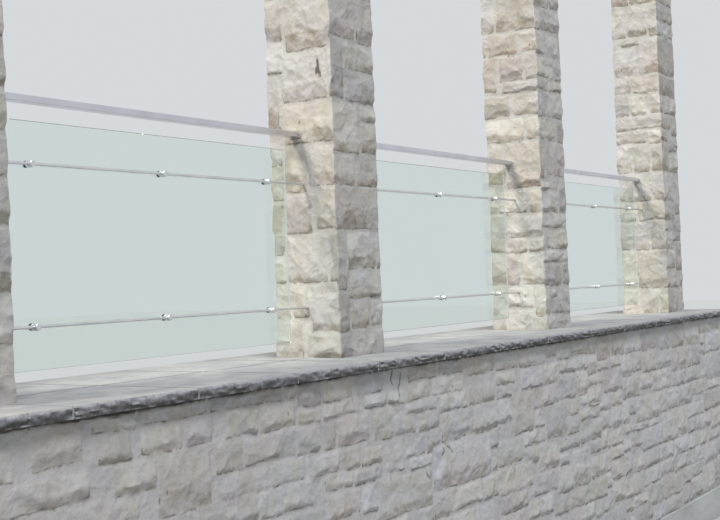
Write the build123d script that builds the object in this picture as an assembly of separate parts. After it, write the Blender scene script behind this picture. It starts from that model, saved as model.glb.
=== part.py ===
from build123d import *
import os

# Glass railing: glass bays between square stone piers on a stone base wall.
# Millimetres. X runs along the railing, Y away from the walk in front, Z up.
# The origin is on the ground, in the middle of the wall.

# The run
bay_count = 3
pier_pitch = 2300.0
pier_side = 392.0
pier_height = 2600.0

# The base wall and its coping
floor_height = 1600.0
ledge = 299.0
coping_thickness = 40.0
coping_overhang = 30.0
coping_slab_length = 600.0
coping_joint = 10.0
coping_top_arris = 4.0
coping_lower_arris = 9.0
pointing_setback = 6.0
pointing_depth = 1.0
footing_height = 230.0
footing_setback = 12.0
footing_weathering = 10.0

# The top rail, a rectangular tube let into the piers
rail_top_height = 1067.0
rail_depth = 50.0
rail_face = 25.0
rail_wall = 2.0
rail_corner = 3.0
rail_bore_corner = 1.2
rail_centre_y = 35.0
rail_embed = 60.0

# The two round rods
rod_dia = 12.0
rod_embed = 50.0
rod_inset = 157.0

# The glass
glass_thickness = 12.0
glass_top_gap = 66.0
glass_bottom_gap = 80.0
glass_end_gap = 99.0
glass_edge_bevel = 1.0
rod_to_glass = 18.0

# The rod holders
holders_per_rod = 3
holder_end_distance = 257.0
holder_dia = 26.0
holder_nose = 14.0
holder_bevel = 2.0
gasket_thickness = 1.5
gasket_dia = 26.0
stud_dia = 8.0
stud_reach = 8.0
bush_dia = 14.0
back_disc_thickness = 8.0
screw_dia = 5.0
screw_recess = 1.0

# Clearances
seat_clearance = 0.3
rod_hole_clearance = 0.05
bush_clearance = 0.1

# Derived positions
pier_count = bay_count + 1
pier_half = pier_side / 2
bay_clear = pier_pitch - pier_side
run_length = bay_count * pier_pitch + pier_side
wall_length = run_length + 2 * (ledge - coping_overhang)
wall_depth = pier_side + 2 * (ledge - coping_overhang)
coping_length = run_length + 2 * ledge
coping_depth = pier_side + 2 * ledge
coping_bottom = floor_height - coping_thickness
coping_joints = 2 * round((coping_length / coping_slab_length - 1) / 2)
rail_top = floor_height + rail_top_height
rail_z = rail_top - rail_face / 2
glass_top = rail_top - rail_face - glass_top_gap
glass_bottom = floor_height + glass_bottom_gap
upper_rod_z = glass_top - rod_inset
lower_rod_z = glass_bottom + rod_inset
glass_front = rod_to_glass
glass_back = glass_front + glass_thickness
holder_back = glass_front - gasket_thickness
disc_front = glass_back + gasket_thickness
rod_r = rod_dia / 2
stud_r = stud_dia / 2
screw_r = screw_dia / 2
holder_r = holder_dia / 2


def block(x0, x1, y0, y1, z0, z1):
    """A box between two corners."""
    centre = Pos((x0 + x1) / 2, (y0 + y1) / 2, (z0 + z1) / 2)
    return centre * Box(x1 - x0, y1 - y0, z1 - z0)


def bar_x(x0, x1, y, z, r):
    """A round bar along X."""
    return Pos((x0 + x1) / 2, y, z) * Rot(0, 90, 0) * Cylinder(r, x1 - x0)


def bar_y(y0, y1, x, z, r):
    """A round bar along Y."""
    return Pos(x, (y0 + y1) / 2, z) * Rot(90, 0, 0) * Cylinder(r, y1 - y0)


def bar_z(z0, z1, x, y, r):
    """A round bar along Z."""
    return Pos(x, y, (z0 + z1) / 2) * Cylinder(r, z1 - z0)


def rail_section(grow):
    """The outline of the top rail, grown by a clearance."""
    width = rail_depth + 2 * grow
    height = rail_face + 2 * grow
    return RectangleRounded(width, height, rail_corner + grow)


def rail_length(x0, x1, outline):
    """An outline in the rail's plane, run along X."""
    plane = Plane.YZ.offset(x0)
    return extrude(plane * Pos(rail_centre_y, rail_z) * outline, amount=x1 - x0)


def pier_x(i):
    """The centre of pier i, counted from the left."""
    return (i - bay_count / 2) * pier_pitch


def bay_span(b):
    """The faces of the two piers at the ends of bay b."""
    return pier_x(b) + pier_half, pier_x(b + 1) - pier_half


def holder_positions(b):
    """The holders of bay b: even steps between the two end holders."""
    x0, x1 = bay_span(b)
    first = x0 + holder_end_distance
    step = (x1 - x0 - 2 * holder_end_distance) / (holders_per_rod - 1)
    along = [first + k * step for k in range(holders_per_rod)]
    return [(x, z) for z in (upper_rod_z, lower_rod_z) for x in along]


# Stonework below the railing

def footing():
    """The smooth rendered strip at the foot of the wall, its top edge weathered."""
    length = wall_length - 2 * footing_setback
    depth = wall_depth - 2 * footing_setback
    strip = Pos(0, 0, footing_height / 2) * Box(length, depth, footing_height)
    rim = strip.faces().sort_by(Axis.Z)[-1].edges()
    return chamfer(rim, footing_weathering)


def base_wall():
    """The stone wall from the footing to the underside of the coping."""
    height = coping_bottom - footing_height
    return Pos(0, 0, footing_height + height / 2) * Box(wall_length, wall_depth, height)


def joint_positions():
    """The joints across the coping, evenly spaced about the middle."""
    return [(k - (coping_joints - 1) / 2) * coping_slab_length for k in range(coping_joints)]


def coping_row(side):
    """One row of coping slabs, front (-1) or back (+1), with open joints."""
    half = coping_length / 2
    ends = [-half - coping_joint / 2] + joint_positions() + [half + coping_joint / 2]
    inner = side * coping_joint / 2
    outer = side * coping_depth / 2
    slabs = []
    for left, right in zip(ends, ends[1:]):
        x0 = left + coping_joint / 2
        x1 = right - coping_joint / 2
        slab = block(x0, x1, min(inner, outer), max(inner, outer), coping_bottom, floor_height)
        shown = slab.edges().filter_by(Axis.X).group_by(Axis.Y)[0 if side < 0 else -1].sort_by(Axis.Z)
        slab = chamfer(shown[-1], coping_top_arris)
        shown = slab.edges().filter_by(Axis.X).group_by(Axis.Z)[0].sort_by(Axis.Y)
        slabs.append(chamfer(shown[0 if side < 0 else -1], coping_lower_arris))
    return slabs


def coping_pointing():
    """The mortar in the joints between the slabs, set back from the edges."""
    half = coping_joint / 2
    end_x = coping_length / 2 - pointing_setback
    end_y = coping_depth / 2 - pointing_setback
    top = floor_height - pointing_depth
    mortar = block(-end_x, end_x, -half, half, coping_bottom, top)
    for x in joint_positions():
        mortar += block(x - half, x + half, -end_y, end_y, coping_bottom, top)
    return mortar


# Piers

def pier(i):
    """A stone pier with pockets for the rail and the rods of the bays beside it."""
    x = pier_x(i)
    body = block(x - pier_half, x + pier_half, -pier_half, pier_half, floor_height, floor_height + pier_height)
    for side in (-1, 1):
        if (i == 0 and side < 0) or (i == pier_count - 1 and side > 0):
            continue
        face = x + side * pier_half
        inner = face - side * (rail_embed + seat_clearance)
        outer = face + side * 1.0
        body -= rail_length(min(inner, outer), max(inner, outer), rail_section(seat_clearance))
        inner = face - side * (rod_embed + seat_clearance)
        for z in (upper_rod_z, lower_rod_z):
            body -= bar_x(min(inner, outer), max(inner, outer), 0, z, rod_r + seat_clearance)
    return body


# One bay of railing

def top_rail(b):
    """The top rail: a rectangular tube laid flat, its ends let into the piers."""
    x0, x1 = bay_span(b)
    x0 -= rail_embed
    x1 += rail_embed
    tube = rail_length(x0, x1, rail_section(0))
    bore = RectangleRounded(rail_depth - 2 * rail_wall, rail_face - 2 * rail_wall, rail_bore_corner)
    return tube - rail_length(x0 - 1, x1 + 1, bore)


def rod(b, z):
    """A round rod from pier to pier."""
    x0, x1 = bay_span(b)
    return bar_x(x0 - rod_embed, x1 + rod_embed, 0, z, rod_r)


def glass_panel(b):
    """The pane, drilled for the holders, its long arrises ground off."""
    x0, x1 = bay_span(b)
    pane = block(x0 + glass_end_gap, x1 - glass_end_gap, glass_front, glass_back, glass_bottom, glass_top)
    pane = chamfer(pane.edges().filter_by(Axis.Y, reverse=True), glass_edge_bevel)
    for x, z in holder_positions(b):
        pane -= bar_y(glass_front - 1, glass_back + 1, x, z, bush_dia / 2 + bush_clearance)
    return pane


def holder(x, z):
    """A holder: a round body across the rod, bored for rod, stud and set screw."""
    body = bar_y(-holder_nose, holder_back, x, z, holder_r)
    body = chamfer(body.edges().group_by(Axis.Y)[0], holder_bevel)
    body -= bar_x(x - holder_r - 1, x + holder_r + 1, 0, z, rod_r + rod_hole_clearance)
    body -= bar_y(holder_back - stud_reach, holder_back + 1, x, z, stud_r + rod_hole_clearance)
    body -= bar_z(z - holder_r - 1, z, x, 0, screw_r + rod_hole_clearance)
    return body


def front_gasket(x, z):
    """The washer between a holder and the front of the glass."""
    ring = bar_y(holder_back, glass_front, x, z, gasket_dia / 2)
    return ring - bar_y(holder_back - 1, glass_front + 1, x, z, stud_r + bush_clearance)


def hole_bush(x, z):
    """The sleeve round the stud, inside the hole in the glass."""
    ring = bar_y(glass_front, glass_back, x, z, bush_dia / 2)
    return ring - bar_y(glass_front - 1, glass_back + 1, x, z, stud_r + bush_clearance)


def back_gasket(x, z):
    """The washer between the back of the glass and the clamping disc."""
    ring = bar_y(glass_back, disc_front, x, z, gasket_dia / 2)
    return ring - bar_y(glass_back - 1, disc_front + 1, x, z, stud_r + bush_clearance)


def back_disc(x, z):
    """The clamping disc behind the glass, with the stud that draws it up."""
    disc_back = disc_front + back_disc_thickness
    disc = bar_y(disc_front, disc_back, x, z, holder_r)
    disc = chamfer(disc.edges().group_by(Axis.Y)[-1], holder_bevel)
    stud_end = holder_back - stud_reach + seat_clearance
    return disc + bar_y(stud_end, disc_front + 1, x, z, stud_r)


def set_screw(x, z):
    """The screw under a holder that locks the rod."""
    return bar_z(z - holder_r + screw_recess, z - rod_r - rod_hole_clearance, x, 0, screw_r)


def save(name, shape):
    """Writes one sub-part; a list of pieces goes into one file."""
    if isinstance(shape, list):
        shape = Compound(children=shape)
    export_step(shape, os.path.join("parts", name + ".step"))


os.makedirs("parts", exist_ok=True)

save("footing", footing())
save("base_wall", base_wall())
save("coping_front", coping_row(-1))
save("coping_back", coping_row(1))
save("coping_pointing", coping_pointing())

for i in range(pier_count):
    save("pier_" + str(i + 1), pier(i))

for b in range(bay_count):
    bay = "bay_" + str(b + 1)
    places = holder_positions(b)
    save("top_rail_" + bay, top_rail(b))
    save("upper_rod_" + bay, rod(b, upper_rod_z))
    save("lower_rod_" + bay, rod(b, lower_rod_z))
    save("glass_panel_" + bay, glass_panel(b))
    save("rod_holders_" + bay, [holder(x, z) for x, z in places])
    save("front_gaskets_" + bay, [front_gasket(x, z) for x, z in places])
    save("hole_bushes_" + bay, [hole_bush(x, z) for x, z in places])
    save("back_gaskets_" + bay, [back_gasket(x, z) for x, z in places])
    save("back_discs_" + bay, [back_disc(x, z) for x, z in places])
    save("set_screws_" + bay, [set_screw(x, z) for x, z in places])
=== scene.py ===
# %% [markdown]
# # A glass railing between stone piers
# Three bays of clear glass hang on round steel rods between four square stone piers. The piers stand
# on a coped wall of rock-faced limestone. The steel, the glass and the fixings keep their exact
# solids and get finishes here. The stonework is dressed with real relief, because its look comes from
# the way light falls on broken faces.

# %% Load the solid model
import math
import bpy
import numpy as np
from mathutils import Matrix, Vector


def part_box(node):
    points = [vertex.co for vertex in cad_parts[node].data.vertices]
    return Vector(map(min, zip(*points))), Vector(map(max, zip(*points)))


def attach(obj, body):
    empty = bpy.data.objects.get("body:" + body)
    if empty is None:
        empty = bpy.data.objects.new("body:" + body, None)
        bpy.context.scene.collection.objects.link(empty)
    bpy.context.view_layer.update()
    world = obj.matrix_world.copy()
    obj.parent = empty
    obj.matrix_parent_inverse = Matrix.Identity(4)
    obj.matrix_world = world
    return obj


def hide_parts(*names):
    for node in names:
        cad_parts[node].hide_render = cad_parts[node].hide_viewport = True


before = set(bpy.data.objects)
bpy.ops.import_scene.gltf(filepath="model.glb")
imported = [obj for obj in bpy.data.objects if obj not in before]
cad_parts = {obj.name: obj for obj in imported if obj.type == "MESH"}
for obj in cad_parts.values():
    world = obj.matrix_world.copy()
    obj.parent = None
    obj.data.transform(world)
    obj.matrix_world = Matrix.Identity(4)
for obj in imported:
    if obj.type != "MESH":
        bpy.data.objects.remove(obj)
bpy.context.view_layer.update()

# %% [markdown]
# ## Working in millimetres
# Masons and railing fitters think in millimetres, so the shapes are worked out in them and divided by
# a thousand when they go into a mesh. A single seed for each face keeps every run the same.

# %% Units and colours
MM = 0.001


def paint(red, green, blue):
    """A colour written 0 to 255 as the eye sees it, turned into the linear values that shaders use."""
    out = []
    for c in (red, green, blue):
        s = c / 255
        out.append(s / 12.92 if s <= 0.04045 else ((s + 0.055) / 1.055) ** 2.4)
    return (*out, 1.0)


# %% [markdown]
# ## Reading the sizes
# The stone pieces take the place of plain solids, so their outer faces come from those solids. Nothing
# is placed by eye: the boxes are asked for by name.

# %% Sizes of the stonework
PIERS = ["pier_1", "pier_2", "pier_3", "pier_4"]


def box_of(name):
    """The two corners of a solid's box, in millimetres."""
    return [np.array(c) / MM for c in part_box(name)]


pier_boxes = [box_of(n) for n in PIERS]
wall_low, wall_high = box_of("base_wall")
coping_low, coping_high = box_of("coping_front")
rail_low, rail_high = box_of("top_rail_bay_1")
print("wall", (wall_high - wall_low).round(), "pier", (pier_boxes[0][1] - pier_boxes[0][0]).round())

# %% [markdown]
# ## Uneven surfaces
# Broken stone is uneven at several sizes at once. Smooth random waves, made from random heights on a
# square lattice, are added together at different cell sizes, coarse for the lumps and fine for the
# grain that the grid can still carry.

# %% Random waves


def waves(u, v, cell, seed):
    """Random heights from -1 to 1 on a lattice of this cell size, eased between them by 3t^2 - 2t^3."""
    rng = np.random.default_rng(seed)
    a, b = u / cell, v / cell
    i, j = np.floor(a).astype(int), np.floor(b).astype(int)
    s, t = a - i, b - j
    s, t = s * s * (3 - 2 * s), t * t * (3 - 2 * t)
    i, j = i - i.min(), j - j.min()
    h = rng.uniform(-1, 1, (i.max() + 2, j.max() + 2))
    low = h[i, j] * (1 - s) + h[i + 1, j] * s
    high = h[i, j + 1] * (1 - s) + h[i + 1, j + 1] * s
    return low * (1 - t) + high * t


# %% [markdown]
# ## One rock-faced stone
# A mason pitches a stone's edges back from the joint and leaves the middle broken. The stone lies flush
# with the mortar along its top, leans out as it comes down, and breaks off at a ragged crest just above
# its lower edge. Light from above leaves that break dark, and this is what the eye reads as rough wall.
# The lowest of a handful of tilted planes gives the shape, with crisp ridges where two planes meet.

# %% The face of one stone
MORTAR_DEPTH = 21.0


def broken_face(u, v, width, height, ragged, lift, flush, facets, bold, rng, corner, crest_share):
    """The lowest of several surfaces, in millimetres above the deepest mortar. One falls from the ragged
    crest to the joint below as a power of the height; one runs from the crest back to the mortar at the
    top as a power of the distance from the top; one rises from each side; the rest are cuts, planes that
    start some way from the middle and fall away from it. Two shallow scoops, bell curves, are taken out
    at the end. Bold stones have steeper cuts and deeper scoops. How far a point lies below the crest is
    handed back too."""
    crest = height * (crest_share or rng.uniform(0.12, 0.4)) + ragged * min(1.0, height / 130)
    crest = np.clip(crest, 5, height * 0.64)
    under = flush - 2.0 + (lift - flush + 2.0) * np.clip(v / crest, 0, 2) ** rng.uniform(0.8, 2.2)
    fall = np.clip((height - v) / (height - crest), 0, 1.2)
    upper = flush - 0.5 + (lift - flush) * fall ** rng.uniform(0.3, 0.8)
    left = flush - 1.5 + u * rng.uniform(0.3, 1.3)
    right = flush - 2.5 + (width - u) * rng.uniform(0.4, 2.2)
    face = np.minimum(np.minimum(under, upper), np.minimum(left, right))
    for _ in range(rng.integers(facets[0], facets[1])):
        turn = rng.uniform(0, 2 * math.pi)
        du, dv = math.cos(turn), math.sin(turn)
        if corner:
            du = -corner * abs(du)
        start = (abs(du) * width + abs(dv) * height) * rng.uniform(-0.1, 0.28)
        away = (u - width / 2) * du + (v - height / 2) * dv - start
        cut = lift - bold * rng.uniform(0.12, 0.42) * np.clip(away, 0, None)
        face = np.minimum(face, np.maximum(cut, flush + (lift - flush) * rng.uniform(0.1, 0.5)))
    for _ in range(2):
        cu, cv = rng.uniform(0.1, 0.9) * width, rng.uniform(0.05, 0.7) * height
        ru, rv = rng.uniform(0.08, 0.25) * width, rng.uniform(0.1, 0.3) * height
        face = face - bold * rng.uniform(0.5, 3.5) * np.exp(-((u - cu) / ru) ** 2 - ((v - cv) / rv) ** 2)
    return face, crest - v


# %% [markdown]
# ## A whole face of stones
# The relief of a face is a height over a grid of columns and rows. Each stone fills its own rectangle of
# that grid, and the mortar is what is left between them. The grid is bent a little by slow waves first,
# so that no joint is dead straight. Four numbers are kept at every point for the finish: how light the
# stone is, how warm it is, how much of the point is mortar, and grime_and_shade, which says how dirty it is
# and how much painted shade it gets.

# %% The relief of one face


def stone_relief(columns, rows, stones, seed, lifts=(13, 20), flush=5.0, facets=(2, 5), bold=1.0):
    """For every grid point the height of the stone that holds it, or of the mortar, in millimetres above
    the deepest mortar, and its lightness, warmth, share of mortar and grime_and_shade. That runs from nought
    a little above a stone's crest to one below it: partly dirty stone and partly painted shade under the
    break."""
    rng = np.random.default_rng(seed)
    u, v = np.meshgrid(columns, rows)
    bent_u = u + 6.0 * waves(u, v, 90, seed + 1) + 4.0 * waves(u, v, 26, seed + 2)
    bent_v = v + 6.0 * waves(u, v, 150, seed + 3) + 5.0 * waves(u, v, 38, seed + 4)
    ragged = 8.0 * waves(u, v * 0.3, 50, seed + 11) + 7.0 * waves(u, v * 0.5, 18, seed + 12)
    ridges = [1 - 2 * np.abs(waves(u + 0.5 * v, v - 0.2 * u, c, seed + 13 + c)) for c in (58, 27)]
    grain = 2.0 * ridges[0] + 1.4 * ridges[1] + 1.2 * waves(u, v * 1.4, 15, seed + 6) - 0.5
    relief = flush + 1.2 * waves(u, v, 70, seed + 7) + 0.8 * waves(u, v, 16, seed + 8)
    light = 0.5 + 0.25 * waves(u, v, 300, seed + 9)
    warm = 0.5 + 0.2 * waves(u, v, 400, seed + 10)
    mortar, grime_and_shade = np.ones_like(u), np.zeros_like(u)
    for left, right, low, high, *crest_share in stones:
        width, height = right - left, high - low
        c0, c1 = np.searchsorted(columns, (left - 12, right + 12))
        r0, r1 = np.searchsorted(rows, (low - 12, high + 12))
        part = (slice(r0, r1), slice(c0, c1))
        pu, pv = bent_u[part] - left, bent_v[part] - low
        edge = np.minimum(np.minimum(pu, width - pu), np.minimum(pv, height - pv))
        corner = (right > columns[-1]) * 1 - (left < columns[0]) * 1
        lift = rng.uniform(*lifts)
        shape = (width, height, ragged[part], lift, flush, facets, bold)
        face, below = broken_face(pu, pv, *shape, rng, corner, sum(crest_share))
        broken = np.clip(0.5 + below / 26, 0, 1)
        face = face + grain[part] * (0.35 + 1.1 * broken) * np.clip(edge / 12, 0, 1)
        inside = edge > 0
        relief[part] = np.where(inside, np.maximum(face, relief[part] - 2.5), relief[part])
        light[part] = np.where(inside, rng.uniform(0, 1), light[part])
        warm[part] = np.where(inside, rng.beta(2.2, 2.4), warm[part])
        mortar[part] = np.where(inside, np.clip(1 - edge / 9, 0, 1), mortar[part])
        grime_and_shade[part] = np.where(inside, broken, grime_and_shade[part])
        # Mortar just under a stone's foot gets the full value, for a painted shadow line under the stone.
        foot = (edge <= 0) & (np.abs(pv + 6) < 7) & (np.minimum(pu, width - pu) > 5) & (mortar[part] >= 1)
        grime_and_shade[part] = np.where(foot, 1.0, grime_and_shade[part])
    return np.clip(relief, 0, MORTAR_DEPTH - 0.3), light, warm, mortar, grime_and_shade


# %% [markdown]
# ## Cracks and the joint under the coping
# A few thin cracks run through the wall, and the photograph shows where. A crack is a groove along a
# short broken line, darkened with painted shade. The uppermost joint, under the coping, is struck back
# and darkened with painted shade.

# %% Cracks and the top joint
CRACK_DEPTH = 4.0
TOP_JOINT = [(-1, 2.0, 2.2), (-2, 6.0, 1.75), (-3, 12.0, 1.05)]


def crack(columns, rows, face, path, half_width):
    """Cuts a groove along a broken line. Within the half width of it the relief drops by up to the crack's
    depth and grime_and_shade rises to two, both in step with the distance from the nearest piece of the
    line. That rise paints shade into the groove."""
    u, v = np.meshgrid(columns, rows)
    near = np.full(u.shape, 1e9)
    for (u0, v0), (u1, v1) in zip(path, path[1:]):
        du, dv = u1 - u0, v1 - v0
        t = np.clip(((u - u0) * du + (v - v0) * dv) / (du * du + dv * dv), 0, 1)
        near = np.minimum(near, np.hypot(u - u0 - t * du, v - v0 - t * dv))
    share = np.clip(1 - near / half_width, 0, 1)
    face[0][:] = np.clip(face[0] - CRACK_DEPTH * share, 0, None)
    # Painted shade in the groove, carried by grime_and_shade.
    face[4][:] = np.maximum(face[4], np.clip(3.2 * share, 0, 2))


def strike_top_joint(columns, face, seed):
    """In the topmost rows of a face no more relief is left than the list says, and grime_and_shade rises to
    the list's share times one and a little, by waves 130 and 22 mm long. That is painted shade under the
    coping."""
    level = 0 * columns
    # Painted shade under the coping, stronger and weaker along the joint.
    coping_shade_level = 1.0 + 0.2 * waves(columns, level, 130, seed) + 0.2 * waves(columns, level, 22, seed + 1)
    for row, left, share in TOP_JOINT:
        face[0][row] = np.minimum(face[0][row], left)
        face[4][row] = np.maximum(face[4][row], share * coping_shade_level)


# %% [markdown]
# ## A block wrapped in stone
# A pier or a length of wall is a ring of four faces between two level ends. Where two faces meet, one
# corner line serves both, set in by the relief of each, so the corner shows every notch and stays
# closed. The two ends are flat.

# %% Wrapping four faces round a block


def wrap_block(name, low, high, rows, faces, depth=MORTAR_DEPTH):
    """A closed ring of columns. On each face a point lies in from the block's side by the depth less the
    relief, and along the side it is spread evenly between the two corner lines. Faces come in the order
    front, right, back, left; None is a plain face that shows no stone."""
    count = len(rows)
    plain = (np.full((count, 2), depth), *(np.full((count, 2), c) for c in (0.5, 0.5, 0.0, 0.0)))
    shares = [np.array([0.0, 1.0]) if f is None else f[0] for f in faces]
    reliefs = [plain if f is None else f[1] for f in faces]
    inset = [depth - r[0] for r in reliefs]
    x, y, smooth = [], [], []
    kept = {"light": [], "warm": [], "mortar": [], "grime_and_shade": []}
    for k in range(4):
        before, here, after = inset[k - 1][:, -1:], inset[k], inset[(k + 1) % 4][:, :1]
        along = before + shares[k][None, :] * ((high - low)[k % 2] - before - after)
        px, py = [
            (low[0] + along, low[1] + here),
            (high[0] - here, low[1] + along),
            (high[0] - along, high[1] - here),
            (low[0] + here, high[1] - along),
        ][k]
        x.append(px[:, :-1])
        y.append(py[:, :-1])
        for label, values in zip(kept, reliefs[k][1:]):
            kept[label].append(values[:, :-1])
        smooth += [faces[k] is not None] * (len(shares[k]) - 1)
    x, y = np.concatenate(x, 1), np.concatenate(y, 1)
    around = x.shape[1]
    z = np.repeat(rows[:, None], around, 1)
    points = np.stack([x, y, z], -1).reshape(-1, 3) * MM
    r, c = np.meshgrid(np.arange(count - 1), np.arange(around), indexing="ij")
    here, there = r * around + c, r * around + (c + 1) % around
    quads = np.stack([here, there, there + around, here + around], -1).reshape(-1, 4)
    ends = [np.arange(around)[::-1], (count - 1) * around + np.arange(around)]
    loops = np.concatenate([quads.ravel(), *ends]).astype(np.int32)
    sizes = np.concatenate([np.full(len(quads), 4), [around, around]]).astype(np.int32)
    starts = np.concatenate([[0], np.cumsum(sizes)[:-1]]).astype(np.int32)
    mesh = bpy.data.meshes.new(name)
    mesh.vertices.add(len(points))
    mesh.vertices.foreach_set("co", points.ravel())
    mesh.loops.add(len(loops))
    mesh.loops.foreach_set("vertex_index", loops)
    mesh.polygons.add(len(sizes))
    mesh.polygons.foreach_set("loop_start", starts)
    flags = np.concatenate([np.tile(np.array(smooth), count - 1), [False, False]])
    mesh.polygons.foreach_set("use_smooth", flags)
    for label, values in kept.items():
        data = np.concatenate(values, 1).ravel().astype(np.float32)
        mesh.attributes.new(label, "FLOAT", "POINT").data.foreach_set("value", data)
    mesh.update(calc_edges=True)
    mesh.validate()
    mesh.set_sharp_from_angle(angle=math.radians(34))
    piece = bpy.data.objects.new(name, mesh)
    bpy.context.collection.objects.link(piece)
    print(name, len(points), "points,", len(quads) * 2, "triangles round the sides")
    return piece


# %% [markdown]
# ## Laying out the piers
# The masons built each pier in bands. At every corner a band holds one tall stone or two flat ones, and
# the long side of the corner stone swaps from face to face as the bands go up, which ties the corner
# together. The faces that the photograph shows are laid out as they are there, stone by stone: left
# edge, right edge, bottom and top, in millimetres from the pier's own corner. A stone that runs past the
# corner is the same stone on both faces. A fifth number says how high up a stone breaks, as a share of its
# height, where that is unusual. The hidden faces follow the masons' rule.

# %% Stones of a pier
HALF_JOINT = 7.0
PIER_BANDS = [
    [0, 185, 360, 580, 740, 890, 1035, 1200, 1345, 1495, 1700, 1860, 2010, 2190, 2320, 2460, 2600],
    [0, 180, 358, 580, 737, 890, 1045, 1200, 1495, 1640, 1860, 2005, 2180, 2300, 2440, 2600],
    [0, 237, 479, 721, 866, 990, 1165, 1326, 1487, 1560, 1874, 2020, 2172, 2310, 2440, 2600],
    [0, 197, 495, 729, 870, 1100, 1326, 1455, 1560, 1874, 2172, 2300, 2440, 2600],
]
PAST = 60
SEEN = {
    "pier_2_left": [
        (-60, 171, 0, 170), (181, 452, 0, 112), (216, 452, 112, 345), (-60, 98, 175, 345),
        (98, 211, 175, 345), (76, 341, 345, 580), (-60, 72, 345, 482), (-60, 72, 482, 738),
        (341, 452, 345, 595), (76, 256, 580, 775), (264, 452, 595, 795), (76, 228, 775, 1003),
        (228, 452, 795, 1003), (-60, 72, 738, 902), (-60, 72, 902, 1085), (76, 452, 1003, 1198),
        (-60, 72, 1085, 1352), (76, 368, 1198, 1445), (368, 452, 1198, 1445), (-60, 111, 1352, 1505),
        (111, 452, 1445, 1698), (-60, 106, 1505, 1700), (-60, 186, 1705, 1900), (191, 452, 1700, 1885),
    ],
    "pier_2_front": [
        (-60, 111, 0, 112), (111, 452, 0, 122), (-60, 101, 112, 305), (104, 284, 122, 262),
        (288, 452, 122, 266), (91, 452, 266, 402), (-60, 84, 305, 595), (91, 351, 402, 592),
        (351, 452, 402, 592), (-60, 452, 592, 797, 0.5), (-60, 196, 797, 952), (198, 452, 797, 958),
        (-60, 241, 952, 1198, 0.22), (251, 452, 958, 1110), (251, 452, 1110, 1198),
        (-60, 124, 1205, 1495), (128, 452, 1198, 1350), (128, 452, 1350, 1488),
        (-60, 241, 1495, 1705, 0.3), (244, 452, 1488, 1705), (-60, 206, 1705, 1880),
        (211, 452, 1705, 1870),
    ],
    "pier_3_left": [
        (-60, 216, 270, 475), (221, 452, 275, 485), (-60, 108, 0, 268), (114, 311, 135, 268),
        (314, 452, 75, 272), (114, 311, 0, 133), (314, 452, 0, 74), (-60, 136, 485, 730),
        (146, 452, 578, 730, 0.3), (114, 278, 476, 578), (281, 452, 488, 578), (61, 291, 732, 890),
        (294, 452, 730, 890), (-60, 58, 732, 915), (-60, 136, 918, 1180), (141, 452, 890, 1180),
        (-60, 284, 1182, 1338), (290, 452, 1184, 1338), (-60, 196, 1338, 1490), (206, 452, 1338, 1490),
        (131, 452, 1490, 1562), (-60, 106, 1502, 1730), (112, 296, 1565, 1730), (302, 452, 1562, 1742),
        (-60, 30, 1735, 1880), (32, 256, 1732, 1878, 0.2), (268, 452, 1744, 1880), (-60, 100, 1884, 2105),
        (104, 452, 1880, 2108, 0.35), (-60, 191, 2108, 2265), (194, 452, 2110, 2285),
    ],
    "pier_3_front": [
        (-60, 241, 0, 88), (244, 452, 0, 84), (-60, 82, 90, 268), (86, 214, 90, 192), (218, 452, 86, 264),
        (86, 214, 192, 266), (-60, 286, 268, 415), (290, 452, 264, 415), (-60, 452, 415, 500),
        (-60, 68, 502, 628), (72, 452, 500, 630), (-60, 452, 630, 728), (-60, 281, 728, 875),
        (285, 452, 730, 905), (-60, 281, 877, 935), (-60, 76, 937, 1178), (111, 452, 965, 1178, 0.25),
        (-60, 292, 1188, 1330), (294, 452, 1182, 1330), (-60, 151, 1332, 1498),
        (154, 452, 1334, 1498, 0.25), (-60, 178, 1500, 1582), (182, 452, 1502, 1575),
        (-60, 274, 1582, 1722), (288, 452, 1572, 1712), (-60, 148, 1724, 1882, 0.15),
        (152, 366, 1722, 1875), (370, 452, 1714, 1875), (-60, 90, 1880, 2015), (94, 452, 1884, 2035),
        (-60, 236, 2020, 2175), (241, 452, 2038, 2175),
    ],
    "pier_4_left": [
        (-60, 168, 0, 190), (172, 308, 0, 190), (312, 452, 0, 190), (132, 452, 190, 495),
        (-60, 128, 192, 495), (-60, 258, 496, 722), (262, 452, 498, 722), (152, 452, 722, 876),
        (-60, 148, 724, 884), (62, 282, 878, 1106), (288, 452, 878, 1106), (-60, 58, 886, 1106),
        (-60, 138, 1108, 1340), (142, 290, 1108, 1340, 0.2), (294, 452, 1108, 1326),
        (-60, 260, 1340, 1450), (264, 452, 1328, 1450), (-60, 452, 1450, 1560), (132, 276, 1562, 1726),
        (292, 452, 1562, 1726), (-60, 128, 1560, 1736), (152, 380, 1728, 1876), (-60, 148, 1736, 1876),
        (11, 212, 1876, 2108), (218, 452, 1878, 2170), (66, 236, 2108, 2180),
        (132, 310, 2180, 2405, 0.25), (-60, 128, 2182, 2405), (314, 452, 2172, 2405),
    ],
    "pier_4_front": [
        (-60, 161, 0, 190), (164, 452, 0, 190), (-60, 310, 190, 335), (314, 452, 192, 325),
        (110, 240, 336, 495), (244, 452, 326, 556), (-60, 106, 336, 495), (-60, 190, 496, 645),
        (194, 452, 556, 765), (-60, 190, 645, 722), (-60, 262, 722, 870), (268, 452, 767, 1104),
        (-60, 262, 872, 1104, 0.15), (-60, 170, 1108, 1345), (174, 452, 1106, 1265),
        (174, 452, 1265, 1395), (-60, 170, 1345, 1446), (-60, 260, 1446, 1566), (264, 452, 1396, 1566),
        (94, 452, 1568, 1706), (-60, 90, 1568, 1706), (-60, 452, 1708, 1870), (-60, 452, 1874, 2176, 0.2),
        (122, 280, 2178, 2295), (284, 452, 2180, 2295), (-60, 118, 2178, 2295), (-60, 452, 2297, 2405),
    ],
}


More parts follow.
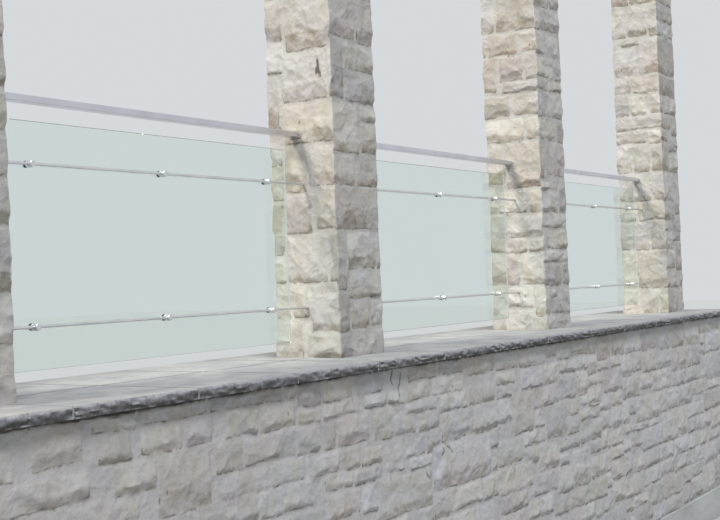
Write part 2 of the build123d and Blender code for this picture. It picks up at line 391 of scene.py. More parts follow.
def inset(stones, top):
    """Shrinks every rectangle by half a joint on each side, and runs the lowest and the highest stones on
    past the face, so that none shows a joint against the slab it stands on or the one above it."""
    out = []
    for a, b, c, d, *rest in stones:
        low = c - 25 if c < 5 else c + HALF_JOINT
        high = d + 35 if d > top - 20 else d - HALF_JOINT
        out.append((a + HALF_JOINT, b - HALF_JOINT, low, high, *rest))
    return out


def pier_stones(bands, side, seed):
    """Rectangles of stone on the four faces of a pier, by the masons' rule. A corner stone runs past the
    corner, so that no joint shows there."""
    rng = np.random.default_rng(seed)
    faces = [[], [], [], []]
    for b, (low, high) in enumerate(zip(bands, bands[1:])):
        tall = high - low
        split = [rng.uniform(0.38, 0.62) if tall > 200 and rng.random() < 0.3 else None for _ in range(4)]
        for k in range(4):
            long_left = (b + k) % 2 == 0
            ends = []
            for long_side in (long_left, not long_left):
                ends.append(rng.uniform(200, 265) if long_side else rng.uniform(95, 150))
            if rng.random() < 0.25:
                ends[0] = side - ends[1]
            parts = [(-PAST, ends[0], split[k]), (side - ends[1], side + PAST, split[(k + 1) % 4])]
            if side - ends[0] - ends[1] > 55:
                cut = rng.uniform(0.35, 0.65) if tall > 190 and rng.random() < 0.4 else None
                parts.append((ends[0], side - ends[1], cut))
            else:
                parts[0] = (-PAST, side - ends[1], split[k])
            for left, right, cut in parts:
                levels = [low, high] if cut is None else [low, low + cut * tall, high]
                faces[k] += [(left, right, a, z) for a, z in zip(levels, levels[1:])]
    return faces


def laid_face(name, ruled):
    """The stones read from the photograph, with the masons' rule above the last of them."""
    seen = SEEN.get(name, [])
    reached = max((s[3] for s in seen), default=0)
    return inset(seen + [s for s in ruled if s[2] > reached - 45], PIER_BANDS[0][-1])


# %% [markdown]
# The corner edges of a pier are knocked off a little, and the stone is cut back round the rail and the
# rods where they were let in, then made good with mortar. The cut is a shallow pocket in the relief,
# given as half its width, half its height and the relief that is left. The second pier has lost a wedge
# of stone high on its left face.

# %% Build the four piers
PIER_STEP = 8.8
PIER_RELIEF = {"lifts": (15, 21), "facets": (4, 8), "bold": 2.3}
CORNER_RELIEF = 15
RAIL_POCKET = (31, 20, 9.0)
RAIL_POCKET_RISE = 10
ROD_POCKET = (10, 10, 15.0)
CHIP = [
    [(309, 1398), (306, 1372), (297, 1345), (300, 1326)],
    [(309, 1398), (310, 1368), (317, 1340), (320, 1316)],
    [(308, 1372), (306, 1350), (311, 1334)],
]


def soften_corners(columns, side, relief, keep):
    """Draws the relief towards one value beside each corner, where only a share of its ups and downs is
    kept. The share rises to one within 50 mm. A last 1.5 mm goes with the square of the nearness."""
    reach = np.minimum(columns, side - columns)[None, :]
    share = keep + (1 - keep) * np.clip(reach / 50, 0, 1)
    return CORNER_RELIEF + (relief - CORNER_RELIEF) * share - 1.5 * np.clip(1 - reach / 20, 0, 1) ** 2


def let_in(columns, rows, relief, mortar, u, z, half_u, half_z, left):
    """A pocket round the point (u, z): inside the box no more relief is left than said, all mortar."""
    du = (np.abs(columns - u) - half_u)[None, :]
    dz = (np.abs(rows - z) - half_z)[:, None]
    inside = np.maximum(du, dz) < 0
    relief[inside] = np.minimum(relief[inside], left)
    mortar[inside] = 1.0


pier_pieces = []
for k, (low, high) in enumerate(pier_boxes):
    side, _, tall = high - low
    columns = np.linspace(0, side, int(round(side / PIER_STEP)) + 1)
    rows = np.linspace(low[2], high[2], int(round(tall / PIER_STEP)) + 1)
    layout = pier_stones(PIER_BANDS[k], side, 40 + k)
    ring = []
    for f, facing in enumerate(("front", "right", "back", "left")):
        face_name = PIERS[k] + "_" + facing
        stones = laid_face(face_name, layout[f])
        seed = 1000 * (k + 1) + 100 * f
        relief, *looks = stone_relief(columns, rows - low[2], stones, seed, **PIER_RELIEF)
        relief = np.clip(soften_corners(columns, side, relief, 0.4 if k == 0 else 0.6), 0, None)
        if face_name == "pier_2_left":
            # The hollow of the lost wedge is drawn as cracks, so it gets painted shade too.
            for line in CHIP:
                crack(columns, rows - low[2], (relief, *looks), line, 9)
        if (f == 1 and k < 3) or (f == 3 and k > 0):
            middle = (rail_low[1] + rail_high[1]) / 2
            u = middle - low[1] if f == 1 else high[1] - middle
            let_in(columns, rows, relief, looks[2], u, rail_low[2] + RAIL_POCKET_RISE, *RAIL_POCKET)
            for rod in ("upper_rod_bay_1", "lower_rod_bay_1"):
                rod_low, rod_high = box_of(rod)
                z = (rod_low[2] + rod_high[2]) / 2
                let_in(columns, rows, relief, looks[2], side / 2, z, *ROD_POCKET)
        ring.append((columns / side, (relief, *looks)))
    piece = wrap_block("pier_stonework_" + str(k + 1), low, high, rows, ring)
    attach(piece, "root")
    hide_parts(PIERS[k])
    pier_pieces.append(piece)

# %% [markdown]
# ## Laying out the wall
# The wall is random rubble with wide, flush joints: courses come and go, and a big block takes the
# height of two of them now and then. The part of the front that the photograph shows is laid out as it
# is there: left, right, bottom and top of every stone, in millimetres of the model's own frame. Where
# it shows nothing, bands of two courses are filled with pairs of flat stones and a few big blocks.

# %% Stones of the wall
WALL_LENGTH, WALL_THICK, WALL_HEIGHT = wall_high - wall_low
WALL_BANDS = [94, 235, 242, 246, 230, 218, 65]
PINNING_TRIES = 6000
WALL_SEEN = [
    (-3460, -3240, 1412, 1548, 0.3), (-3175, -3015, 1386, 1486), (-3200, -2990, 1490, 1546),
    (-3110, -2900, 1272, 1380), (-2975, -2760, 1390, 1490), (-2745, -2590, 1396, 1486),
    (-2975, -2620, 1496, 1546), (-2605, -2160, 1496, 1546), (-2520, -2318, 1393, 1488),
    (-2308, -2078, 1383, 1490), (-2140, -2070, 1496, 1546), (-2060, -1890, 1452, 1542),
    (-2066, -1900, 1383, 1440), (-2890, -2612, 1162, 1382, 0.42), (-2590, -2425, 1272, 1380, 0.2),
    (-2420, -2085, 1276, 1382, 0.2), (-2078, -1915, 1264, 1372, 0.2), (-2560, -2272, 1162, 1260),
    (-2256, -2030, 1166, 1264), (-2015, -1780, 1158, 1254), (-1880, -1656, 1456, 1542),
    (-1632, -1400, 1458, 1542), (-1205, -995, 1390, 1468, 0.4), (-1190, -915, 1478, 1544),
    (-968, -655, 1393, 1472), (-900, -655, 1480, 1544), (-625, -305, 1456, 1542, 0.3),
    (-1785, -1530, 1260, 1386, 0.45), (-1562, -1380, 1390, 1450), (-1885, -1600, 1390, 1448),
    (-1372, -1214, 1390, 1450), (-1492, -1338, 1242, 1382), (-1322, -1128, 1243, 1345),
    (-1112, -908, 1238, 1318), (-898, -618, 1300, 1390), (-608, -315, 1302, 1395),
    (-1212, -930, 1325, 1385), (-1890, -1795, 1262, 1375), (-1742, -1610, 1158, 1248),
    (-1602, -1430, 1150, 1225), (-1402, -1243, 1088, 1212), (-1228, -1052, 1138, 1228),
    (-1042, -902, 1130, 1228), (-892, -560, 1158, 1298), (-556, -288, 1158, 1298, 0.25),
    (-1885, -1682, 1084, 1152), (-1668, -1438, 1078, 1142), (-1202, -990, 1075, 1128),
    (-1895, -1622, 958, 1072), (-1612, -1490, 945, 1066), (-1482, -1000, 886, 1066, 0.25),
    (-986, -386, 934, 1150, 0.36), (-1500, -1200, 800, 876), (-1192, -1000, 800, 882),
    (-992, -838, 800, 928), (-832, -500, 815, 924), (-482, -310, 812, 928), (-380, -290, 1060, 1150),
    (-372, -306, 935, 1050), (-295, -25, 1454, 1542), (-12, 332, 1446, 1542), (345, 492, 1470, 1542),
    (500, 696, 1444, 1542), (706, 1086, 1450, 1542, 0.3), (1108, 1330, 1398, 1542),
    (1350, 1580, 1408, 1542), (-295, -60, 1374, 1442), (10, 292, 1324, 1438), (300, 505, 1320, 1436),
    (515, 772, 1364, 1436), (780, 940, 1360, 1440), (950, 1086, 1318, 1440), (1098, 1322, 1334, 1392),
    (1338, 1520, 1333, 1400), (-300, -104, 1306, 1366), (-102, 138, 1088, 1312, 0.14),
    (152, 506, 1203, 1314), (514, 758, 1213, 1354, 0.2), (766, 940, 1216, 1352), (946, 1182, 1250, 1312),
    (1200, 1520, 1186, 1325), (-285, -115, 1170, 1296), (152, 306, 1098, 1194),
    (318, 602, 1008, 1194, 0.3), (612, 802, 1110, 1205), (812, 932, 1146, 1208), (902, 1124, 1128, 1142),
    (944, 1182, 1132, 1240), (1128, 1304, 1084, 1178, 0.4), (1318, 1508, 1090, 1178),
    (-295, 2, 943, 1078, 0.2), (14, 296, 1004, 1084), (612, 796, 1000, 1104), (806, 1116, 1052, 1120),
    (16, 192, 905, 996), (206, 466, 838, 996), (482, 792, 918, 992), (802, 1126, 922, 1044, 0.35),
    (1140, 1310, 962, 1074), (1318, 1500, 948, 1080), (-300, 112, 792, 934, 0.16), (480, 622, 832, 908),
    (448, 662, 678, 826), (672, 922, 678, 896), (936, 1116, 838, 914), (1128, 1216, 838, 948),
    (1224, 1492, 836, 938, 0.3), (122, 436, 716, 830), (950, 1276, 688, 812), (1284, 1492, 756, 828),
    (-292, 46, 688, 784), (56, 192, 604, 704), (202, 382, 600, 704), (390, 602, 566, 668),
    (612, 818, 562, 668), (830, 1186, 556, 670), (1196, 1276, 590, 680), (1288, 1502, 620, 744),
    (-292, 46, 580, 678), (612, 990, 455, 552), (1000, 1280, 440, 548), (1290, 1490, 480, 610),
    (1592, 1886, 1408, 1542), (1896, 2252, 1400, 1542), (2262, 2502, 1378, 1542),
    (2512, 2790, 1378, 1540), (2832, 3158, 1366, 1540), (3168, 3442, 1446, 1540),
    (3484, 3700, 1456, 1540), (3168, 3310, 1366, 1438), (1530, 1702, 1256, 1400),
    (1712, 1884, 1276, 1398), (1896, 2182, 1253, 1390), (2190, 2484, 1252, 1368),
    (2494, 2602, 1208, 1368), (2612, 2962, 1212, 1368), (2972, 3162, 1212, 1358),
    (3326, 3692, 1288, 1438), (3172, 3316, 1282, 1358), (1530, 1592, 1110, 1248),
    (1602, 1832, 1108, 1246), (1840, 2084, 1142, 1244, 0.3), (2096, 2484, 1108, 1242),
    (2492, 2792, 1102, 1198), (2802, 3152, 1100, 1202), (3176, 3498, 1082, 1272),
    (3506, 3700, 1072, 1278), (1510, 1618, 954, 1098), (1628, 1752, 1000, 1098),
    (1760, 2192, 930, 1098, 0.3), (2206, 2362, 950, 1098), (2372, 2622, 956, 1092, 0.25),
    (2630, 2932, 950, 1090), (2942, 3302, 994, 1090), (3312, 3660, 996, 1066), (1500, 1622, 890, 944),
    (1620, 1988, 882, 924), (1996, 2192, 884, 922), (1500, 1632, 768, 880), (1640, 1842, 780, 872),
    (1852, 2252, 734, 872, 0.2), (2262, 2592, 728, 936, 0.2), (2602, 2802, 738, 938, 0.25),
    (2812, 3202, 836, 940), (3212, 3640, 850, 986, 0.2), (2812, 3012, 728, 828), (3022, 3362, 722, 828),
    (3372, 3640, 684, 842), (1640, 1846, 612, 738), (1508, 1632, 620, 752), (1856, 2172, 610, 726),
    (2182, 2482, 612, 720), (2492, 2802, 606, 720), (2812, 3068, 608, 712), (3078, 3304, 608, 704),
    (3314, 3600, 606, 676), (1500, 1792, 466, 602), (1848, 2182, 494, 600), (2192, 2472, 502, 600),
    (2482, 2842, 494, 598), (2852, 3192, 496, 598), (2850, 3192, 394, 488, 0.3),
    (3202, 3502, 450, 596, 0.3), (3512, 3660, 470, 598), (1500, 1632, 380, 456), (1640, 1902, 382, 458),
    (1910, 2232, 340, 486), (2244, 2652, 338, 490, 0.2), (2660, 2842, 378, 486), (1700, 1990, 262, 372),
    (2000, 2232, 234, 332), (2240, 2602, 232, 330), (2652, 2852, 232, 370), (2860, 3102, 234, 384),
    (3112, 3402, 234, 440), (3412, 3640, 234, 440),
]


def band_stones(length, low, high, rng):
    """Fills one band from left to right. A unit is a block as tall as the band, or two rows of flat
    stones of different lengths with a level joint between them."""
    stones, at, tall = [], 0.0, high - low
    while at < length:
        if tall < 150:
            width = rng.uniform(150, 430)
            cells = [(at, at + width, low, high)]
        elif rng.random() < 0.13:
            width = rng.uniform(230, 340)
            cells = [(at, at + width, low, high)]
        else:
            width = rng.uniform(380, 900)
            joint = low + tall * rng.uniform(0.42, 0.58)
            cells = []
            for a, z in ((low, joint), (joint, high)):
                cuts = [0.0]
                while cuts[-1] < width - 220:
                    cuts.append(cuts[-1] + rng.uniform(160, 430))
                cuts = np.array(cuts[:-1] + [width]) if len(cuts) > 1 else np.array([0.0, width])
                cells += [(at + p, at + q, a, z) for p, q in zip(cuts, cuts[1:])]
        stones += cells
        at += width
    return [(max(p, -PAST), min(q, length + PAST), a, z) for p, q, a, z in stones if p < length - PAST]


def wall_stones(length, seed, seen=()):
    """All the bands of one wall face, from the footing up, less those under the stones already seen, and
    small pinning stones dropped at random into what is left bare."""
    rng = np.random.default_rng(seed)
    levels = np.concatenate([[0], np.cumsum(WALL_BANDS)])
    ruled = []
    for low, high in zip(levels, levels[1:]):
        ruled += band_stones(length, low, high, rng)
    ruled = inset(ruled, WALL_HEIGHT)
    if not seen:
        return ruled
    left, foot = wall_low[0], wall_low[2]
    stones = [(a - left, b - left, c - foot, d - foot, *rest) for a, b, c, d, *rest in seen]
    stones = [(a, b, c, d + 45 if d > WALL_HEIGHT - 25 else d, *rest) for a, b, c, d, *rest in stones]
    box = np.array([s[:4] for s in stones])
    for a, b, c, d in ruled:
        taller = np.minimum(box[:, 3], d) - np.maximum(box[:, 2], c)
        wider = np.minimum(box[:, 1], b) - np.maximum(box[:, 0], a)
        shared = (np.clip(taller, 0, None) * np.clip(wider, 0, None)).sum()
        if shared < 0.06 * (b - a) * (d - c):
            stones.append((a, b, c, d))
    for _ in range(PINNING_TRIES):
        wide, tall = rng.uniform(60, 210), rng.uniform(48, 100)
        a, c = rng.uniform(0, length - wide), rng.uniform(8, WALL_HEIGHT - tall - 8)
        box = np.array([s[:4] for s in stones])
        aside = (box[:, 0] > a + wide + 8) | (box[:, 1] < a - 8)
        clear = aside | (box[:, 2] > c + tall + 8) | (box[:, 3] < c - 8)
        if clear.all():
            stones.append((a, a + wide, c, c + tall))
    return stones


# %% [markdown]
# The wall is made in three lengths, so that none of them gets too heavy. One relief is worked out for the
# whole front and cut at the same columns on both sides of a cut, so the cuts don't show. The back repeats
# the layout of the front with stones of its own, on a coarser grid.

# %% Build the wall
LENGTHS = 3
WALL_ROWS, END_COLUMNS = 167, 79
FRONT_STEPS, BACK_STEPS = LENGTHS * 326, LENGTHS * 145
CRACK_HALF_WIDTH = 7.5
CRACKS = [
    [(2794, 1545), (2790, 1490), (2822, 1440), (2806, 1375)],
    [(-1322, 1540), (-1336, 1505), (-1322, 1478)],
    [(-1250, 1530), (-1256, 1478), (-1276, 1462), (-1268, 1420)],
    [(-840, 1138), (-812, 1122), (-792, 1100)],
    [(-896, 1104), (-872, 1118), (-884, 1132)],
    [(-1055, 1044), (-1040, 1024), (-1018, 1010)],
]
rows = np.linspace(wall_low[2], wall_high[2], WALL_ROWS)
heights = rows - wall_low[2]
front_columns = np.linspace(0, WALL_LENGTH, FRONT_STEPS + 1)
back_columns = np.linspace(0, WALL_LENGTH, BACK_STEPS + 1)
end_columns = np.linspace(0, WALL_THICK, END_COLUMNS)
front = stone_relief(front_columns, heights, wall_stones(WALL_LENGTH, 7, WALL_SEEN), 7000)
back = stone_relief(back_columns, heights, wall_stones(WALL_LENGTH, 8, WALL_SEEN), 8000)
left_end = stone_relief(end_columns, heights, wall_stones(WALL_THICK, 9), 9000)
right_end = stone_relief(end_columns, heights, wall_stones(WALL_THICK, 10), 9100)
for path in CRACKS:
    line = [(x - wall_low[0], z - wall_low[2]) for x, z in path]
    crack(front_columns, heights, front, line, CRACK_HALF_WIDTH)
strike_top_joint(front_columns, front, 9500)
strike_top_joint(back_columns, back, 9510)
strike_top_joint(end_columns, left_end, 9520)
strike_top_joint(end_columns, right_end, 9530)


def length_of(columns, values, k):
    """The k-th length of a face: its columns as shares of their own length, and its part of each array."""
    n = (len(columns) - 1) // LENGTHS
    part = slice(k * n, k * n + n + 1)
    cut = columns[part]
    return (cut - cut[0]) / (cut[-1] - cut[0]), tuple(a[:, part] for a in values)


wall_pieces = []
for k in range(LENGTHS):
    low = np.array([wall_low[0] + k * WALL_LENGTH / LENGTHS, wall_low[1], wall_low[2]])
    high = np.array([wall_low[0] + (k + 1) * WALL_LENGTH / LENGTHS, wall_high[1], wall_high[2]])
    behind = length_of(back_columns, back, LENGTHS - 1 - k)
    ring = [length_of(front_columns, front, k), None, behind, None]
    if k == LENGTHS - 1:
        ring[1] = (end_columns / WALL_THICK, right_end)
    if k == 0:
        ring[3] = (end_columns / WALL_THICK, left_end)
    piece = wrap_block("wall_stonework_" + str(k + 1), low, high, rows, ring)
    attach(piece, "root")
    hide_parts("base_wall")
    wall_pieces.append(piece)

# %% [markdown]
# ## The coping
# The coping slabs are natural stone with sawn beds and a rock-faced outer edge. Each slab is the same
# kind of wrapped block, only 40 mm tall. The outer edge gets chipped relief, and the joints and the bed
# stay plain.

# %% Build the coping slabs
EDGE_DEPTH = 18.0
EDGE_STEP = 8
SLAB_LENGTH, SLAB_JOINTS, HALF_GAP = 600.0, 12, 5.0
coping_rows = np.linspace(coping_low[2], coping_high[2], 8)


def chipped_edge(columns, rows, seed):
    """Relief of a broken slab edge: a quarter ellipse rounds it off towards the top, a straighter slope
    towards the bed, and long, ridged and short waves break both up. The chips lie along the edge. The
    finish of the coping needs no numbers at the points, so they stay at nought."""
    u, v = np.meshgrid(columns, rows)
    h = (v - rows[0]) / (rows[-1] - rows[0])
    belly = 0.42 + 0.16 * waves(u, 0 * v, 110, seed + 8)
    rise = np.clip((h - belly) / (1 - belly), 0, 1)
    body = 4.0 + 12.0 * np.sqrt(1 - 0.92 * rise ** 2) - 5.0 * np.clip(belly - h, 0, 1) ** 0.8
    ridge = 1 - 2 * np.abs(waves(u * 0.6 + 30 * h, v * 1.8, 30, seed))
    body = body + 2.5 * waves(u, v * 0.4, 95, seed + 5) + 2.6 * ridge
    body = body + 2.2 * waves(u * 0.7, v * 1.6, 17, seed + 2) - 1.5
    return (np.clip(body, 0, EDGE_DEPTH), *[np.zeros_like(u)] * 4)


def edge_face(length, seed):
    """A broken edge of this length, ready to wrap: its columns as shares of the length, and its relief."""
    columns = np.linspace(0, length, int(length / EDGE_STEP) + 1)
    return columns / length, chipped_edge(columns, coping_rows, seed)


def join(name, pieces):
    """Puts several pieces into one object, keeping their materials and attributes."""
    with bpy.context.temp_override(active_object=pieces[0], selected_editable_objects=pieces):
        bpy.ops.object.join()
    pieces[0].name = name
    pieces[0].data.name = name
    return pieces[0]


joints = [(k - (SLAB_JOINTS - 1) / 2) * SLAB_LENGTH for k in range(SLAB_JOINTS)]
marks = [coping_low[0] - HALF_GAP, *joints, coping_high[0] + HALF_GAP]
coping_pieces = []
for side, node in ((-1, "coping_front"), (1, "coping_back")):
    box_low, box_high = box_of(node)
    slabs = []
    for s, (a, b) in enumerate(zip(marks, marks[1:])):
        low = np.array([a + HALF_GAP, box_low[1], box_low[2]])
        high = np.array([b - HALF_GAP, box_high[1], box_high[2]])
        ring = [None] * 4
        ring[0 if side < 0 else 2] = edge_face((high - low)[0], 300 * s + 17 + side)
        if s in (0, len(marks) - 2):
            ring[3 if s == 0 else 1] = edge_face((high - low)[1], 300 * s + 99 + side)
        slabs.append(wrap_block("slab", low, high, coping_rows, ring, depth=EDGE_DEPTH))
    piece = join("coping_slabs_" + ("front" if side < 0 else "back"), slabs)
    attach(piece, "root")
    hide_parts(node)
    coping_pieces.append(piece)

# %% [markdown]
# ## Stone finishes
# Limestone of this kind is a pale warm grey, but no two stones match: some lean to cream, some to lilac
# grey. The four numbers kept at each point steer the mix. Cloudy noise adds the mottling inside one
# stone, and bump gives the broken surface its bite: sharp ridges, grit and a few pits.

# %% Node helpers


def new_material(name, roughness=0.5, metallic=0.0):
    """An empty principled material, with its tree and shader handed back."""
    material = bpy.data.materials.new(name)
    material.use_nodes = True
    tree = material.node_tree
    shader = tree.nodes["Principled BSDF"]
    shader.inputs["Roughness"].default_value = roughness
    shader.inputs["Metallic"].default_value = metallic
    return material, tree, shader


def feed(tree, socket, value):
    """Links another socket into this one, or gives it a plain value."""
    if isinstance(value, bpy.types.NodeSocket):
        tree.links.new(value, socket)
    else:
        socket.default_value = value


def node(tree, kind, **values):
    """Adds a node, sets its properties and feeds its inputs by name, with underscores for spaces."""
    made = tree.nodes.new(kind)
    for key, value in values.items():
        if hasattr(made, key):
            setattr(made, key, value)
        else:
            feed(tree, made.inputs[key.replace("_", " ")], value)
    return made


def maths(tree, operation, *values, clamp=False):
    """A calculation on two or three values, each a socket or a number."""
    made = node(tree, "ShaderNodeMath", operation=operation, use_clamp=clamp)
    for socket, value in zip(made.inputs, values):
        feed(tree, socket, value)
    return made.outputs[0]


def times(tree, product, *factors):
    """The product of several values, clamped between nought and one."""
    for factor in factors:
        product = maths(tree, "MULTIPLY", product, factor, clamp=True)
    return product


def ramp(tree, factor, low, high, start=0.0, end=1.0):
    """Stretches a factor from one range to another, clamped."""
    sides = {"From_Min": low, "From_Max": high, "To_Min": start, "To_Max": end}
    return node(tree, "ShaderNodeMapRange", Value=factor, **sides).outputs["Result"]


def blend_colours(tree, factor, one, two, kind="MIX"):
    """A colour mix whose three inputs may be sockets or plain values."""
    mix = node(tree, "ShaderNodeMix", data_type="RGBA", blend_type=kind)
    for index, value in ((0, factor), (6, one), (7, two)):
        feed(tree, mix.inputs[index], value)
    return mix.outputs[2]


def tinted(tree, body, *layers):
    """Lays colours over a body one by one, each up to its share where its noise goes from low to high."""
    for cloud, low, high, share, colour in layers:
        body = blend_colours(tree, ramp(tree, cloud, low, high, 0.0, share), body, paint(*colour))
    return body


def place_on(tree, stretch=None):
    """Places on the object in metres, multiplied axis by axis if asked."""
    place = node(tree, "ShaderNodeTexCoord").outputs["Object"]
    if stretch:
        place = node(tree, "ShaderNodeMapping", Vector=place, Scale=stretch).outputs["Vector"]
    return place


def noise(tree, scale, detail=4.0, roughness=0.55, stretch=None):
    """Cloudy noise on the object, stretched along the axes if asked."""
    settings = {"Scale": scale, "Detail": detail, "Roughness": roughness}
    return node(tree, "ShaderNodeTexNoise", Vector=place_on(tree, stretch), **settings).outputs["Fac"]


def ridged(tree, scale, detail, roughness):
    """Noise folded at its middle, which turns its valleys into sharp ridges like those of broken stone."""
    kind = {"noise_type": "RIDGED_MULTIFRACTAL", "normalize": True}
    settings = {"Scale": scale, "Detail": detail, "Roughness": roughness, "Gain": 2.0, "Offset": 1.0}
    return node(tree, "ShaderNodeTexNoise", **kind, Vector=place_on(tree), **settings).outputs["Fac"]


def facing_up(tree, low, high, start=0.0, end=1.0):
    """How far the surface faces up, read from its normal and stretched between two values."""
    normal = node(tree, "ShaderNodeNewGeometry").outputs["Normal"]
    return ramp(tree, node(tree, "ShaderNodeSeparateXYZ", Vector=normal).outputs["Z"], low, high, start, end)


def add_bump(tree, shader, *layers):
    """Chains bumps, each a height, a strength and a depth in metres, into the shader's normal."""
    before = {}
    for height, strength, depth in layers:
        bump = node(tree, "ShaderNodeBump", Height=height, Strength=strength, Distance=depth, **before)
        before = {"Normal": bump.outputs["Normal"]}
    tree.links.new(before["Normal"], shader.inputs["Normal"])


def wear(pieces, material):
    """Gives a finish to made pieces or to solids that keep their own shape."""
    for piece in pieces:
        piece.data.materials.clear()
        piece.data.materials.append(material)
    print(material.name, "on", len(pieces), "pieces")


# %% Limestone and mortar


def pitting(tree):
    """Scattered small nicks, taller than wide: nought inside and one outside. Each is the neighbourhood of
    one point of a cell pattern, frayed by noise. Few points lie close enough to the surface to show."""
    cells = node(tree, "ShaderNodeTexVoronoi", Vector=place_on(tree, (1.0, 1.0, 0.55)), Scale=11.0)
    near = maths(tree, "MULTIPLY_ADD", noise(tree, 90.0, 4.0, 0.7), 0.3, cells.outputs["Distance"])
    return ramp(tree, near, 0.19, 0.22)


def limestone(name, dark, pale, mortar, soil_and_shade_share, open_from, bite):
    """Two greys mixed by lightness, cream and lilac by warmth, mottled by noise, mortar by its share. Below
    a crest, whose line is frayed by noise, the stone goes browner by soil_and_shade_share, partly dirty
    stone and partly painted shade under the break. Where it meets the mortar a thin dark line comes and
    goes, a painted shadow in the crease, open where noise passes the value open_from. Past one,
    grime_and_shade in the cracks and under the coping is dark all over, as painted shade. Small nicks get
    painted shade too. The bite holds the scale, detail and roughness of the ridged bump and its depth in
    metres."""
    material, tree, shader = new_material(name, 0.9)
    read = [node(tree, "ShaderNodeAttribute", attribute_name=n) for n in ("light", "warm", "mortar", "grime_and_shade")]
    light, warm, bedded, grime_and_shade = (made.outputs["Fac"] for made in read)
    drift, patches = noise(tree, 2.6, 3.0, 0.5), noise(tree, 9.0, 6.0, 0.65)
    specks, sand = noise(tree, 48.0, 8.0, 0.72), noise(tree, 220.0, 4.0, 0.7)
    body = blend_colours(tree, light, paint(*dark), paint(*pale))
    cool = blend_colours(tree, 0.26, body, paint(168, 164, 182))
    cream = blend_colours(tree, 0.28, body, paint(186, 182, 164))
    body = tinted(
        tree, blend_colours(tree, ramp(tree, warm, 0.1, 0.9), cool, cream),
        (drift, 0.5, 0.7, 0.35, (176, 161, 154)), (drift, 0.48, 0.3, 0.3, (168, 170, 179)),
        (patches, 0.48, 0.7, 0.45, (160, 153, 138)), (patches, 0.5, 0.32, 0.35, (174, 171, 184)),
        (specks, 0.54, 0.74, 0.4, (140, 134, 122)), (specks, 0.45, 0.3, 0.3, (206, 206, 205)),
    )
    # Below a crest the stone goes browner: partly dirty stone, partly painted shade under the break.
    below = maths(tree, "MULTIPLY_ADD", noise(tree, 60.0, 5.0, 0.65), 1.1, grime_and_shade)
    brown_under_break = blend_colours(tree, ramp(tree, drift, 0.42, 0.58), paint(178, 172, 148), paint(184, 165, 152))
    body_under_break = blend_colours(tree, soil_and_shade_share, body, brown_under_break, "MULTIPLY")
    soil_and_shade_mask = times(tree, ramp(tree, below, 0.85, 1.35), ramp(tree, patches, 0.35, 0.6, 0.1, 0.75))
    smeared = times(tree, ramp(tree, bedded, 0.35, 1.0), ramp(tree, patches, 0.36, 0.56, 0.25, 1.0))
    bed = tinted(tree, paint(*mortar), (sand, 0.35, 0.7, 0.16, (90, 90, 88)))
    colour = blend_colours(tree, smeared, blend_colours(tree, soil_and_shade_mask, body, body_under_break), bed)
    # Painted shadow: a thin dark line where the underside of a stone meets the mortar.
    beside = times(tree, ramp(tree, bedded, 0.1, 0.5), ramp(tree, bedded, 1.0, 0.7))
    gaps = ramp(tree, noise(tree, 16.0, 5.0, 0.7), open_from, open_from + 0.12)
    crease = times(tree, beside, ramp(tree, below, 1.2, 1.5), gaps, ramp(tree, sand, 0.2, 0.6, 0.7, 0.9))
    colour = blend_colours(tree, crease, colour, paint(106, 101, 93))
    # Painted shade: past one, grime_and_shade in the cracks and under the coping is dark all over.
    colour = tinted(tree, colour, (grime_and_shade, 1.15, 1.6, 0.9, (84, 80, 74)))
    pits = pitting(tree)
    # Painted shade in the small nicks.
    colour = blend_colours(tree, pits, blend_colours(tree, 0.6, colour, paint(88, 84, 76)), colour)
    tree.links.new(colour, shader.inputs["Base Color"])
    broken, rough = ridged(tree, *bite[:3]), noise(tree, 110.0, 5.0, 0.7)
    layers = (broken, 0.6, bite[3]), (specks, 0.45, 0.0042), (rough, 0.45, 0.0028), (pits, 0.5, 0.003)
    add_bump(tree, shader, *layers)
    return material


pier_tones = (161, 159, 154), (201, 200, 196), (182, 181, 178)
wall_tones = (168, 168, 166), (197, 197, 196), (184, 182, 183)
wear(pier_pieces, limestone("pier_limestone", *pier_tones, 0.7, 0.42, (7.0, 3.0, 0.43, 0.0155)))
wear(wall_pieces, limestone("wall_limestone", *wall_tones, 0.48, 0.44, (7.4, 4.0, 0.48, 0.01)))

# %% [markdown]
# The coping is a denser, darker stone. Its broken edges stay dark grey and its walked-on top has
# bleached, so the finish reads which way the surface faces: level parts go pale. On the broken edges
# painted light makes the parts that round over to the top paler, and painted shade makes the parts that
# lean over darker still.

# %% Coping stone


